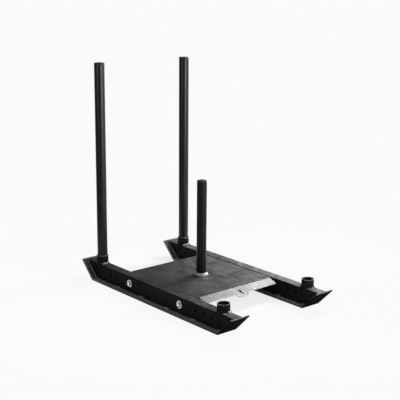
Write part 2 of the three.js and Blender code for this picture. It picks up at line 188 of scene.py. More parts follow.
# The studio. Ramps are spans of a unit direction in the world, and of metres on the floor.
BACKGROUND = (0.955, 0.955, 0.97)
WORLD_STRENGTH = 0.12
CEILING_RAMP = (0.02, 0.17)
CEILING_SHARE = 0.12
ROOM_DIRECTION = (-0.17, -0.98, 0)
ROOM_RAMP = (0.15, 0.5)
ROOM_SHARE = 0.2
FLOOR_HALF = 60
FLOOR_PAINT = (0.7, 0.7, 0.71)
MIRRORED_PAINT = (0.5, 0.5, 0.5)
# Painted shadow: the floor under the deck is painted nearly black.
UNDER_DECK_PAINTED_SHADOW = (0.01, 0.01, 0.01)
UNDER_DECK_HALF_LENGTH = 0.14
UNDER_DECK_HALF_WIDTH = 0.211
FLOOR_ROOM_RAMP = (0.4, 1.3)
NEAR_RAMP = (0.8, 1.4)
NEAR_DIMMING = 0.06
DIMMING_PER_METRE = 0.085
SHADE_ACROSS = (0.211, 0.3)
SHADE_AHEAD = (0.33, 0.42)
OPEN_SHARE = 0.35
FLOOR_SHADOW_SHARE = 0.1

# Lamps: name, direction from what the lamp lights, distance, width, height, radiance, what it lights.
AIM_LOW = (0, 0, 0.1)
AIM_HIGH = (0, 0, 0.5)
LAMPS = (
    ("key strip", (-0.078, 0.743, 0.665), 2.8, 0.4, 1.8, 48, AIM_LOW),
    ("back softbox", (-0.21, 0.72, 0.66), 2.8, 0.8, 0.8, 27, AIM_LOW),
    ("overhead softbox", (-0.25, -0.05, 0.97), 2.6, 2.6, 2.6, 0.65, AIM_LOW),
    ("side softbox", (0.96, 0.22, 0.2), 2.6, 1.6, 1.4, 8.5, AIM_HIGH),
    ("left softbox", (0.1, -0.82, 0.57), 2.5, 0.8, 0.8, 5, AIM_LOW),
    ("left strip", (-0.05, -1, 0.2), 2.5, 0.3, 0.8, 7, AIM_HIGH),
)
# Power, in watts per square metre, that makes a lamp as bright as white.
WHITE_POWER = 4

# The camera, worked out from the sled's own corners in the photograph.
CAMERA_EYE = (3.3623, -2.8671, 1.5419)
CAMERA_AHEAD = (-0.7405, 0.6289, -0.2370)
CAMERA_RIGHT = (0.6460, 0.7633, 0.0071)
CAMERA_LENS = 85.05
CAMERA_SENSOR = 36


# Outlines.

def arc(centre, radius, start, end, steps):
    """Points of an arc from one angle to another, both ends included."""
    turn = (end - start) / steps
    return [centre + radius * Vector((math.cos(start + i * turn), math.sin(start + i * turn)))
            for i in range(steps + 1)]


def circle(centre, radius, steps):
    return arc(centre, radius, 0, 2 * math.pi, steps)[:-1]


def rounded(corners, steps=CORNER_STEPS):
    """A closed outline from corners (x, y, radius), each rounded to its radius."""
    outline = []
    for i, (x, y, radius) in enumerate(corners):
        here = Vector((x, y))
        if radius == 0:
            outline.append(here)
            continue
        before = (Vector(corners[i - 1][:2]) - here).normalized()
        after = (Vector(corners[(i + 1) % len(corners)][:2]) - here).normalized()
        half = math.acos(max(-1.0, min(1.0, before.dot(after)))) / 2
        centre = here + (before + after).normalized() * radius / math.sin(half)
        start = here + before * radius / math.tan(half) - centre
        end = here + after * radius / math.tan(half) - centre
        first = math.atan2(start.y, start.x)
        swing = math.atan2(start.cross(end), start.dot(end))
        outline += arc(centre, radius, first, first + swing, steps)
    return outline


def folded(corners, thickness, inside):
    """The right and the left face of a flat bar folded along a line of corners."""
    line = [Vector(c) for c in corners]
    headings = [(b - a).normalized() for a, b in zip(line, line[1:])]
    left_of = [Vector((-h.y, h.x)) for h in headings]
    right, left = [line[0]], [line[0] + left_of[0] * thickness]
    for i in range(1, len(line) - 1):
        bend = math.atan2(headings[i - 1].cross(headings[i]), headings[i - 1].dot(headings[i]))
        inwards = math.copysign(1, bend)
        reach = inside + thickness if inwards > 0 else inside
        far_reach = inside if inwards > 0 else inside + thickness
        centre = line[i] - headings[i - 1] * reach * math.tan(abs(bend) / 2)
        centre += left_of[i - 1] * inwards * reach
        spoke = -inwards * left_of[i - 1]
        first = math.atan2(spoke.y, spoke.x)
        right += arc(centre, reach, first, first + bend, BEND_STEPS)
        left += arc(centre, far_reach, first, first + bend, BEND_STEPS)
    right.append(line[-1])
    left.append(line[-1] + left_of[-1] * thickness)
    return right, left


def folded_outline(corners, thickness, inside):
    right, left = folded(corners, thickness, inside)
    return right + left[::-1]


def rectangle(half_width, bottom, top, radius):
    return [(-half_width, bottom, radius), (half_width, bottom, radius),
            (half_width, top, radius), (-half_width, top, radius)]


# Solids.

def placed(axis, point, along):
    """A point of an outline at a distance along the axis that the outline is extruded on."""
    if axis == "X":
        return Vector((along, point.x, point.y))
    if axis == "Y":
        return Vector((point.x, along, point.y))
    return Vector((point.x, point.y, along))


def prism(outline, low, high, axis):
    bm = bmesh.new()
    rings = [[bm.verts.new(placed(axis, p, along)) for p in outline] for along in (low, high)]
    bm.faces.new(rings[0])
    bm.faces.new(rings[1][::-1])
    join_rings(bm, rings)
    return bm


def hollow_prism(outer, inner, low, high, axis):
    """A tube between two outlines with as many points as each other."""
    bm = bmesh.new()
    loops = [(outer, low), (outer, high), (inner, high), (inner, low)]
    rings = [[bm.verts.new(placed(axis, p, along)) for p in outline] for outline, along in loops]
    join_rings(bm, rings + rings[:1])
    return bm


def join_rings(bm, rings):
    count = len(rings[0])
    for a, b in zip(rings, rings[1:]):
        for i in range(count):
            j = (i + 1) % count
            bm.faces.new((a[i], a[j], b[j], b[i]))


def lathe(profile, facets=ROUND):
    """Turns a closed profile of (radius, height) about the Z axis. Points on the axis become one vertex."""
    bm = bmesh.new()
    columns = []
    for radius, height in profile:
        if radius <= 0:
            columns.append([bm.verts.new((0, 0, height))] * facets)
            continue
        turn = 2 * math.pi / facets
        columns.append([bm.verts.new((radius * math.cos(k * turn), radius * math.sin(k * turn), height))
                        for k in range(facets)])
    for a, b in zip(columns, columns[1:] + columns[:1]):
        for k in range(facets):
            m = (k + 1) % facets
            corners = list(dict.fromkeys((a[k], a[m], b[m], b[k])))
            if len(corners) > 2:
                bm.faces.new(corners)
    return bm


def lathe_outline(corners, facets=ROUND):
    return lathe([(p.x, p.y) for p in rounded(corners)], facets)


def tube(inner, outer, low, high):
    return lathe_outline([(inner, low, 0), (outer, low, CUT_EDGE), (outer, high, CUT_EDGE), (inner, high, 0)])


def object_from(name, bm):
    bmesh.ops.recalc_face_normals(bm, faces=bm.faces)
    mesh = bpy.data.meshes.new(name)
    bm.to_mesh(mesh)
    bm.free()
    obj = bpy.data.objects.new(name, mesh)
    bpy.context.scene.collection.objects.link(obj)
    return obj


def settle(obj):
    """Applies the object's modifiers to its mesh."""
    bpy.context.view_layer.update()
    evaluated = obj.evaluated_get(bpy.context.evaluated_depsgraph_get())
    mesh = bpy.data.meshes.new_from_object(evaluated)
    obj.modifiers.clear()
    obj.data = mesh


def combine(obj, others, operation):
    """Cuts other solids out of an object, keeps what they share or joins them, and removes them."""
    for bm in others:
        tool = object_from("tool", bm)
        step = obj.modifiers.new("combine", "BOOLEAN")
        step.operation = operation
        step.solver = "EXACT"
        step.object = tool
        settle(obj)
        bpy.data.objects.remove(tool)


def soften(obj, width, segments=2):
    """Rounds the sharp edges by a small radius, and keeps flat faces flat in the shading."""
    if width:
        bevel = obj.modifiers.new("edges", "BEVEL")
        bevel.limit_method = "ANGLE"
        bevel.angle_limit = SHARP_ANGLE
        bevel.width = width
        bevel.segments = segments
    settle(obj)
    obj.data.shade_smooth()
    obj.modifiers.new("flat faces", "WEIGHTED_NORMAL").keep_sharp = False
    settle(obj)


def show(obj, look, nodes=(), body="frame"):
    obj.data.materials.clear()
    obj.data.materials.append(look.material)
    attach(obj, body)
    if nodes:
        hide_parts(*nodes)
    return obj


def turned_piece(node, bm, look, body="frame", matrix=Matrix.Identity(4)):
    """A turned piece that replaces the node of its name."""
    bmesh.ops.transform(bm, matrix=matrix, verts=bm.verts)
    obj = object_from(node + "_fine", bm)
    soften(obj, 0)
    return show(obj, look, [node], body)


def middle(node):
    low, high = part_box(node)
    return (low + high) / 2


# Finishes.

def colour(red, green, blue):
    return (red, green, blue, 1.0)


class Nodes:
    """A tree of nodes, with short ways to add and join them."""

    def __init__(self, tree):
        self.tree = tree

    def add(self, kind, **inputs):
        node = self.tree.nodes.new(kind)
        for key, value in inputs.items():
            self.feed(node.inputs[key.replace("_", " ")], value)
        return node

    def feed(self, socket, value):
        if isinstance(value, bpy.types.NodeSocket):
            self.tree.links.new(value, socket)
        else:
            socket.default_value = value

    def operate(self, kind, operation, values):
        node = self.add(kind)
        node.operation = operation
        for socket, value in zip(node.inputs, values):
            self.feed(socket, value)
        return node

    def math(self, operation, *values):
        return self.operate("ShaderNodeMath", operation, values).outputs[0]

    def size_of(self, value):
        return self.math("ABSOLUTE", value)

    def product(self, first, *others):
        for other in others:
            first = self.math("MULTIPLY", first, other)
        return first

    def largest(self, first, *others):
        for other in others:
            first = self.math("MAXIMUM", first, other)
        return first

    def parts_of(self, vector):
        return self.add("ShaderNodeSeparateXYZ", Vector=vector).outputs

    def reach(self, place, direction):
        """How far a point, or a direction seen from the sled, lies towards a direction."""
        return self.operate("ShaderNodeVectorMath", "DOT_PRODUCT", (place, direction)).outputs["Value"]

    def length_of(self, vector):
        return self.operate("ShaderNodeVectorMath", "LENGTH", (vector,)).outputs["Value"]

    def ranged(self, value, span, first, last, smooth=False):
        """From the first number to the last as the value crosses the span."""
        node = self.add("ShaderNodeMapRange", Value=value, From_Min=span[0], From_Max=span[1],
                        To_Min=first, To_Max=last)
        if smooth:
            node.interpolation_type = "SMOOTHSTEP"
        return node.outputs["Result"]

    def mixed(self, factor, first, second, kind="RGBA"):
        """From the first to the second as the factor goes from 0 to 1."""
        node = self.add("ShaderNodeMix")
        node.data_type = kind
        for name, value in (("Factor", factor), ("A", first), ("B", second)):
            self.feed(node.inputs[name], value)
        return node.outputs["Result"]

    def end_in(self, output, factor, first, second):
        """Ends the tree in a mix of two shaders."""
        mix = self.add("ShaderNodeMixShader")
        for socket, value in zip(mix.inputs, (factor, first.outputs[0], second.outputs[0])):
            self.feed(socket, value)
        self.add(output, Surface=mix.outputs[0])


class Finish(Nodes):
    """The material of one slot of the record.

    Upward, along and across are the parts of the surface's unit normal, the last two without their sign.
    """

    def __init__(self, slot, name=None):
        self.slot = slot
        self.material = bpy.data.materials.new(name or slot + "_finish")
        self.material.use_nodes = True
        super().__init__(self.material.node_tree)
        self.shader = self.tree.nodes["Principled BSDF"]
        coordinates = self.add("ShaderNodeTexCoord").outputs
        self.place = coordinates["Object"]
        self.where = self.parts_of(self.place)
        facing = self.parts_of(coordinates["Normal"])
        self.upward = facing["Z"]
        self.along = self.size_of(facing["X"])
        self.across = self.size_of(facing["Y"])

    def noise(self, size, detail):
        """Noise whose features are about as large as size."""
        return self.add("ShaderNodeTexNoise", Vector=self.place, Scale=1 / size, Detail=detail).outputs["Fac"]

    def pattern(self, kind, low, high):
        size, detail, span = kind
        return self.ranged(self.noise(size, detail), span, low, high)

    def grain(self, size, detail, depth):
        return self.add("ShaderNodeBump", Height=self.noise(size, detail), Distance=depth).outputs["Normal"]

    def set(self, **inputs):
        for key, value in inputs.items():
            self.feed(self.shader.inputs[key.replace("_", " ")], value)

    def paint(self, tone):
        self.tone = tone
        self.set(Base_Color=tone)


def powder_coat(slot, tones, roughness, specular, name=None, dusty=0.05, evenness=0.0, sole=0.0,
                peel=COAT_PEEL, dust_and_light_side=None, least_dust_and_light=0.05, dust_from=0.94):
    """Baked powder: fine orange peel, with slow drifts of tone and sheen.

    Dust lies in patches on faces that look up at least as much as dust_from. Dusty is how much of it there
    is at most, and evenness the share that the patches keep at least. With a side given, the patches are
    smudged and grow towards it, partly dust and partly a painted highlight on that lit side, and fade to
    their least share on the other side. Sole is how rough the underside is.
    """
    finish = Finish(slot, name)
    deep, pale = tones
    tone = finish.mixed(finish.pattern(TONE_DRIFT, 0, 1), colour(*deep), colour(*pale))
    speckle = colour(*[SPECKLE_LIFT * v for v in pale])
    tone = finish.mixed(finish.pattern(SPECKLE, 0, SPECKLE_SHARE), tone, speckle)
    patches = finish.pattern(DUST_PATCHES, dusty * evenness, dusty)
    # Painted highlight: towards the given side the patches grow, partly dust and partly light falling on that
    # side.
    if dust_and_light_side:
        side = finish.reach(finish.place, dust_and_light_side)
        side = finish.ranged(side, (-DUST_AND_LIGHT_REACH, DUST_AND_LIGHT_REACH), least_dust_and_light, 1)
        patches = finish.product(patches, side, finish.pattern(DUST_SMUDGES, LEAST_SMUDGE, 1))
    level = finish.ranged(finish.upward, (dust_from, 1), 0, 1)
    finish.paint(finish.mixed(finish.product(level, patches), tone, colour(*DUST_AND_LIGHT)))
    sheen = finish.pattern(SHEEN_DRIFT, *roughness)
    if sole:
        under = finish.ranged(finish.upward, SOLE_FACES, 1, 0)
        sheen = finish.mixed(under, sheen, sole, "FLOAT")
    finish.set(Roughness=sheen, Normal=finish.grain(*peel), Specular_IOR_Level=specular)
    return finish


def wear_and_highlight(finish, mask, share, bare_and_highlight):
    """Shows the given tone where the mask is 1, more on some stretches than on others: bare metal where the
    coat is worn, a lighter tone for painted highlights.
    """
    uneven = finish.pattern(WEAR_PATCHES, share / 2, share)
    finish.paint(finish.mixed(finish.product(mask, uneven), finish.tone, colour(*bare_and_highlight)))


def painted_edge_highlights(finish, share, bare_and_highlight, front_share=1.0):
    """Painted highlights on the rounded edges between level or sloping faces and side faces, most of them at
    the rear.
    """
    wear_and_highlight(finish, finish.product(
        finish.ranged(finish.across, EDGE_STARTS, 0, 1),
        finish.ranged(finish.across, EDGE_ENDS, 1, 0),
        finish.ranged(finish.upward, EDGE_RISES, 0, 1),
        finish.ranged(finish.where["X"], REAR_HIGHLIGHT_RAMP, 1, front_share),
    ), share, bare_and_highlight)


def worn_above(finish, height, share, bare_and_highlight):
    """Wear on the rims above a height."""
    wear_and_highlight(finish, finish.ranged(finish.where["Z"], (height - RIM_WEAR_STEP, height), 0, 1), share, bare_and_highlight)


def worn_cuts(finish, share, bare_and_highlight):
    """Wear on the sheared edges of the lips, but not inside the tow slot."""

    def past(value, start):
        return finish.ranged(value, (start, start + MM), 0, 1)

    tilted = finish.math("ADD", finish.product(finish.along, math.sin(LIP_TILT)),
                         finish.product(finish.upward, math.cos(LIP_TILT)))
    cut = finish.ranged(finish.size_of(tilted), CUT_FACES, 1, 0)
    on_lip = past(finish.size_of(finish.where["X"]), DECK_LENGTH / 2)
    slot_end = DECK_LENGTH / 2 + (SLOT_START + SLOT_LENGTH) * math.cos(LIP_TILT) + MM
    off_slot = finish.math("ADD", past(finish.size_of(finish.where["Y"]), SLOT_WIDTH),
                           past(finish.where["X"], slot_end))
    wear_and_highlight(finish, finish.product(cut, on_lip, finish.ranged(off_slot, (0, 1), 0, 1)), share, bare_and_highlight)


def zinc_plate(slot):
    """Bright zinc: a faint drift from blue to yellow, a fine grain and an uneven sheen."""
    finish = Finish(slot)
    blue, yellow = ZINC_TONES
    finish.paint(finish.mixed(finish.pattern(ZINC_DRIFT, 0, 1), colour(*blue), colour(*yellow)))
    sheen = finish.pattern(ZINC_SHEEN, *ZINC_ROUGHNESS)
    finish.set(Roughness=sheen, Normal=finish.grain(*ZINC_GRAIN), Metallic=1.0)
    return finish


def moulded_plastic(slot):
    """Matt black plastic with the fine grain of its mould and paler, duller scuffs."""
    finish = Finish(slot)
    clean, scuffed = PLASTIC_TONES
    scuff = finish.pattern(SCUFFS, 0, SCUFF_SHARE)
    finish.paint(finish.mixed(scuff, colour(*clean), colour(*scuffed)))
    sheen = finish.ranged(scuff, (0, SCUFF_SHARE), *PLASTIC_ROUGHNESS)
    finish.set(Roughness=sheen, Normal=finish.grain(*PLASTIC_GRAIN), Specular_IOR_Level=PLASTIC_SPECULAR)
    return finish


# The rails' dust grows towards the far front side, partly a painted highlight where the key light falls on
# their tops.
POWDER = powder_coat("powder_coat", COAT_BLACK, roughness=(0.42, 0.54), specular=0.055,
                     dusty=0.45, evenness=0.3, dust_and_light_side=(0.45, 0.89, 0), least_dust_and_light=0.2)
SKI_COAT = powder_coat("powder_coat", COAT_BLACK, roughness=(0.5, 0.6), specular=0.0,
                       name="ski_coat_finish", dusty=0.42, evenness=0.6, sole=0.9, dust_from=0.57)
# Painted highlights on the ski's rounded edges, most of them at the rear ends.
painted_edge_highlights(SKI_COAT, share=1.0, bare_and_highlight=SKI_EDGE_HIGHLIGHT, front_share=0.15)
worn_above(SKI_COAT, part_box("ski_left")[1].z - SKI_TIP_WEAR, share=0.24, bare_and_highlight=BARE_STEEL_AND_HIGHLIGHT)
SOCKET_COAT = powder_coat("powder_coat", COAT_BLACK, roughness=(0.42, 0.54), specular=0.045,
                          name="socket_coat_finish", dusty=0.1)
worn_above(SOCKET_COAT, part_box("socket_front_left")[1].z - RIM_EDGE, share=0.5, bare_and_highlight=BARE_STEEL_AND_HIGHLIGHT)
WELD_COAT = powder_coat("powder_coat", WELD_BLACK, roughness=(0.2, 0.3), specular=1.0,
                        name="weld_coat_finish")
# Painted highlight: the collar's black powder coat is given a grey tone.
COLLAR_HIGHLIGHT_COAT = powder_coat("powder_coat", COLLAR_PAINTED_HIGHLIGHT, roughness=(0.36, 0.44), specular=0.7,
                          name="collar_highlight_finish")
# The deck's dust grows towards the far front side, partly a painted highlight where the light falls on it.
DECK_COAT = powder_coat("deck_coat", DECK_BLACK, roughness=(0.35, 0.43), specular=0.14,
                        dusty=0.34, evenness=0.3, dust_and_light_side=(0.5, 0.87, 0), peel=DECK_PEEL)
worn_cuts(DECK_COAT, share=0.9, bare_and_highlight=CUT_STEEL)
# Painted highlight on the deck's folds, which lightens the shade along the seam beside the rails.
painted_edge_highlights(DECK_COAT, share=0.2, bare_and_highlight=BARE_STEEL_AND_HIGHLIGHT)
POLE_COAT = powder_coat("pole_coat", POLE_BLACK, roughness=(0.28, 0.34), specular=0.26, peel=POLE_PEEL)
POST_COAT = powder_coat("pole_coat", POLE_BLACK, roughness=(0.34, 0.4), specular=0.13,
                        name="post_coat_finish", peel=POLE_PEEL)
ZINC = zinc_plate("zinc_plate")
PLASTIC = moulded_plastic("black_plastic")


# Weld beads.

def bead(stations):
    """A rippled fillet weld. Each station gives its root, its directions out and up, and its legs."""
    bm = bmesh.new()
    rings = []
    for root, out, up, width, height, travel in stations:
        ring = [bm.verts.new(root)]
        for k in range(BEAD_STEPS + 1):
            angle = math.pi / 2 * k / BEAD_STEPS
            flat = Vector((1 - k / BEAD_STEPS, k / BEAD_STEPS))
            swell = flat.lerp(Vector((math.cos(angle), math.sin(angle))), BEAD_FULLNESS)
            bow = math.sin(2 * angle)
            ripple = math.sin(2 * math.pi * (travel / RIPPLE_PITCH - RIPPLE_CHEVRON * bow))
            scale = 1 + RIPPLE_SHARE * ripple * bow
            ring.append(bm.verts.new(root + out * width * swell.x * scale + up * height * swell.y * scale))
        rings.append(ring)
    join_rings(bm, rings)
    bm.faces.new(rings[0][::-1])
    bm.faces.new(rings[-1])
    return bm


def sampled(line, spacing):
    """Points about a spacing apart on a line of corners, and the line's length.

    Each point comes with its heading and its distance from the start.
    """
    lengths = [(b - a).length for a, b in zip(line, line[1:])]
    total = sum(lengths)
    count = max(2, round(total / spacing))
    points = []
    for i in range(count + 1):
        rest = total * i / count
        leg = 0
        while leg < len(lengths) - 1 and rest > lengths[leg]:
            rest -= lengths[leg]
            leg += 1
        heading = (line[leg + 1] - line[leg]).normalized()
        points.append((line[leg] + heading * rest, heading, total * i / count))
    return points, total


def fillet(line, wall_y, outwards, leg):
    """A bead on a rail's face, with its root on a line of (x, z) points and a taper at both ends."""
    points, total = sampled(line, RIPPLE_PITCH / STATIONS_PER_RIPPLE)
    stations = []
    for point, heading, travel in points:
        taper = min(1.0, BEAD_END_SHARE + (1 - BEAD_END_SHARE) * min(travel, total - travel) / leg)
        up = Vector((-heading.y, 0, heading.x))
        if up.z < 0:
            up.negate()
        root = Vector((point.x, wall_y, point.y))
        stations.append((root, Vector((0, outwards, 0)), up, leg * taper, leg * taper, travel))
    return bead(stations)


def crescent_bead(centre, root_radius, half_width, foot_z, end):
    """A fillet on a rail's top round one side of a socket, cut off where the top of the rail ends."""
    reach = math.asin(half_width / root_radius) - CRESCENT_STOP
    length = 2 * reach * root_radius
    count = round(length / RIPPLE_PITCH * STATIONS_PER_RIPPLE)
    stations = []
    for i in range(count + 1):
        angle = -reach + 2 * reach * i / count
        leg = SOCKET_WELD_LEG
        if angle:
            leg = min(leg, half_width / abs(math.sin(angle)) - root_radius)
        out = Vector((end * math.cos(angle), math.sin(angle), 0))
        root = Vector((centre.x, centre.y, foot_z)) + out * root_radius
        height = BEAD_END_SHARE * SOCKET_WELD_LEG + (1 - BEAD_END_SHARE) * leg
        stations.append((root, out, Vector((0, 0, 1)), leg, height, angle * root_radius))
    return bead(stations)


def merged(meshes):
    """Several solids as one mesh."""
    whole = bmesh.new()
    for bm in meshes:
        mesh = bpy.data.meshes.new("part")
        bmesh.ops.recalc_face_normals(bm, faces=bm.faces)
        bm.to_mesh(mesh)
        bm.free()
        whole.from_mesh(mesh)
        bpy.data.meshes.remove(mesh)
    return whole


# Skis and rails.

def ski_underside(turn_up):
    half = SKI_FLAT / 2
    run, rise = turn_up * math.cos(SKI_SLOPE), turn_up * math.sin(SKI_SLOPE)
    return [(-half - run, rise), (-half, 0), (half, 0), (half + run, rise)]


def make_ski(side_name):
    node = "ski_" + side_name
    low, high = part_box(node)
    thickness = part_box("rail_" + side_name)[0].z - SEAT_GAP
    turn_up = (high.x - SKI_FLAT / 2) / math.cos(SKI_SLOPE)
    outline = folded_outline(ski_underside(turn_up), thickness, SKI_BEND)
    ski = object_from(node + "_fine", prism(outline, low.y, high.y, "Y"))
    soften(ski, SKI_EDGE, 3)
    show(ski, SKI_COAT, [node])


def make_rail(side_name):
    node = "rail_" + side_name
    low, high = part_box(node)
    ski_low, ski_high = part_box("ski_" + side_name)
    centre_y = (ski_low.y + ski_high.y) / 2
    reach = 2 * RAIL_HALF_WIDTH
    outer = rounded(rectangle(RAIL_HALF_WIDTH, low.z, high.z, RAIL_CORNER))
    inner = rounded(rectangle(RAIL_HALF_WIDTH - RAIL_WALL, low.z + RAIL_WALL, high.z - RAIL_WALL,
                              RAIL_BORE_CORNER))
    shift = Vector((centre_y, 0))
    rail = object_from(node + "_fine", hollow_prism(
        [p + shift for p in outer], [p + shift for p in inner], ski_low.x, ski_high.x, "X"))
    turn_up = (high.z + OVERRUN - low.z * math.cos(SKI_SLOPE)) / math.sin(SKI_SLOPE)
    between = folded(ski_underside(turn_up), low.z, SKI_BEND - SEAT_GAP)[1]
    combine(rail, [prism(between, centre_y - reach, centre_y + reach, "Y")], "INTERSECT")
    cutters = []
    for end_name, end in ENDS.items():
        socket_low, socket_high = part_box(f"socket_{end_name}_{side_name}")
        socket = (socket_low + socket_high) / 2
        radius = (socket_high.x - socket_low.x) / 2 + SEAT_GAP
        notch = circle(socket.xy, radius, ROUND)
        cutters.append(prism(notch, socket_low.z - SEAT_GAP, socket_high.z, "Z"))
        bores = [(abs(socket.x) - HOLE_INSET - i * HOLE_PITCH, low.z + HOLE_HEIGHT, HOLE_DIAMETER)
                 for i in range(HOLE_COUNT)]
        bolt = middle(f"washer_outer_{end_name}_{side_name}")
        bores.append((abs(bolt.x), bolt.z, BOLT_BORE))
        for x, z, diameter in bores:
            ring = circle(Vector((end * x, z)), diameter / 2, SMALL_ROUND)
            cutters.append(prism(ring, centre_y - reach, centre_y + reach, "Y"))
    combine(rail, cutters, "DIFFERENCE")
    soften(rail, CUT_EDGE)
    show(rail, POWDER, [node])
    lines = []
    for i in range(RAIL_WELD_COUNT):
        x = (i - (RAIL_WELD_COUNT - 1) / 2) * RAIL_WELD_PITCH
        lines.append([Vector((x + end * RAIL_WELD_LENGTH / 2, low.z)) for end in (-1, 1)])
    turn_up = (high.z - RAIL_CORNER - low.z * math.cos(SKI_SLOPE)) / math.sin(SKI_SLOPE)
    end_line = [p for p in folded(ski_underside(turn_up), low.z, SKI_BEND - SEAT_GAP)[1] if p.x > 0]
    end_line = [Vector((SKI_FLAT / 2 - END_WELD_LAP, low.z))] + end_line
    lines += [end_line, [Vector((-p.x, p.y)) for p in end_line]]
    for face_name, face in {"outer": SIDES[side_name], "inner": -SIDES[side_name]}.items():
        beads = [fillet(line, centre_y + face * RAIL_HALF_WIDTH, face, RAIL_WELD_LEG) for line in lines]
        weld = object_from(f"rail_welds_{face_name}_{side_name}", merged(beads))
        soften(weld, 0)
        show(weld, WELD_COAT)


# Sockets.

def make_socket(end_name, side_name):
    label = f"{end_name}_{side_name}"
    node = "socket_" + label
    low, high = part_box(node)
    centre = (low + high) / 2
    outer = (high.x - low.x) / 2
    inner = outer - SOCKET_WALL
    upright = Matrix.Translation((centre.x, centre.y, 0))
    turned_piece(node, lathe_outline([
        (inner, low.z, 0), (outer, low.z, 0), (outer, high.z, RIM_EDGE), (inner, high.z, RIM_EDGE),
    ]), SOCKET_COAT, matrix=upright)
    floor_low, floor_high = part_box("socket_floor_" + label)
    turned_piece("socket_floor_" + label, lathe_outline([
        (DRAIN_DIAMETER / 2, floor_low.z, 0), (inner - SEAT_GAP, floor_low.z, 0),
        (inner - SEAT_GAP, floor_high.z, CUT_EDGE), (DRAIN_DIAMETER / 2, floor_high.z, CUT_EDGE),
    ], SMALL_ROUND), POWDER, matrix=upright)
    rail_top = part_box("rail_" + side_name)[1].z
    for face_name, face in {"fore": 1, "aft": -1}.items():
        weld = f"socket_weld_{face_name}_{label}"
        bm = crescent_bead(centre, outer + SEAT_GAP, RAIL_HALF_WIDTH - RAIL_CORNER,
                           rail_top + SEAT_GAP, face)
        obj = object_from(weld + "_fine", bm)
        soften(obj, 0)
        show(obj, WELD_COAT, [weld])


# Push poles.

def cap_outline(low, shoulder, plug, outer, crown):
    """A moulded cap: its plug, the shoulder that sits on the tube's end, and the corners of its crown."""
    return [(0, low, 0), (plug, low, CAP_EDGE), (plug, shoulder, 0), (outer, shoulder, CAP_EDGE / 2)] + crown


def make_pole(side_name):
    body = side_name + "_pole"
    node = "push_pole_" + side_name
    low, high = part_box(node)
    centre = (low + high) / 2
    outer = (high.x - low.x) / 2
    upright = Matrix.Translation((centre.x, centre.y, 0))
    turned_piece(node, tube(outer - POLE_WALL, outer, low.z, high.z), POLE_COAT, body, upright)
    plug = outer - POLE_WALL - SEAT_GAP
    cap_low, cap_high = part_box("pole_top_cap_" + side_name)
    top = cap_high.z - cap_low.z
    profile = cap_outline(0, top - POLE_CAP_HEAD, plug, outer, [
        (outer, top - POLE_CAP_CHAMFER, CAP_EDGE), (outer - POLE_CAP_CHAMFER, top, CAP_EDGE), (0, top, 0),
    ])
    turned_piece("pole_top_cap_" + side_name, lathe_outline(profile), PLASTIC, body,
                 upright @ Matrix.Translation((0, 0, cap_low.z)))
    foot_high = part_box("pole_foot_cap_" + side_name)[1]
    turned_piece("pole_foot_cap_" + side_name, lathe_outline(profile), PLASTIC, body,
                 upright @ Matrix.Translation((0, 0, foot_high.z)) @ Matrix.Rotation(math.pi, 4, "X"))


# Deck.

def deck_sheet(low, high):
    """The deck's outer surface: top, side flanges and lips, with the tow tab on the front lip."""
    top, foot = high.z, low.z
    half_width = (high.y - low.y) / 2
    outer_bend = DECK_BEND + DECK_THICKNESS
    flat_x = DECK_LENGTH / 2 - outer_bend * math.tan(LIP_TILT / 2)
    flat_y = half_width - outer_bend
    lip_y = half_width - LIP_INSET
    bm = bmesh.new()
    corner = {(sx, sy): bm.verts.new((sx * flat_x, sy * flat_y, top)) for sx in (1, -1) for sy in (1, -1)}
    root = {(sx, sy): bm.verts.new((sx * flat_x, sy * lip_y, top)) for sx in (1, -1) for sy in (1, -1)}
    bm.faces.new([corner[1, -1], root[1, -1], root[1, 1], corner[1, 1],
                  corner[-1, 1], root[-1, 1], root[-1, -1], corner[-1, -1]])
    for side in (1, -1):
        fold = arc(Vector((flat_y, top - outer_bend)), outer_bend, math.pi / 2, 0, BEND_STEPS)[1:]
        row = [corner[1, side], corner[-1, side]]
        for p in fold + [Vector((half_width, foot))]:
            after = [bm.verts.new((x * flat_x, side * p.x, p.y)) for x in (1, -1)]
            bm.faces.new((row[0], row[1], after[1], after[0]))
            row = after
    level = math.pi / 2
    for end in (1, -1):
        fold = arc(Vector((flat_x, top - outer_bend)), outer_bend, level, level - LIP_TILT, BEND_STEPS)[1:]
        row = [root[end, 1], root[end, -1]]
        for p in fold:
            after = [bm.verts.new((end * p.x, y * lip_y, p.y)) for y in (1, -1)]
            bm.faces.new((row[0], row[1], after[1], after[0]))
            row = after
        outline = [(LIP_LENGTH, -lip_y, LIP_CORNER)]
        if end > 0:
            tip = LIP_LENGTH + TAB_REACH
            outline += [(LIP_LENGTH, -TAB_BASE / 2, TAB_CORNER), (tip, -TAB_TIP / 2, TAB_CORNER),
                        (tip, TAB_TIP / 2, TAB_CORNER), (LIP_LENGTH, TAB_BASE / 2, TAB_CORNER)]
        outline.append((LIP_LENGTH, lip_y, LIP_CORNER))
        start_reach = outer_bend * math.tan(LIP_TILT / 2)
        flat = rounded([(start_reach, lip_y, 0), (start_reach, -lip_y, 0)] + outline)[2:]
        lip = [bm.verts.new((end * (DECK_LENGTH / 2 + p.x * math.cos(LIP_TILT)), p.y,
                             top - p.x * math.sin(LIP_TILT))) for p in flat]
        bm.faces.new([row[0], row[1]] + lip)
    return bm


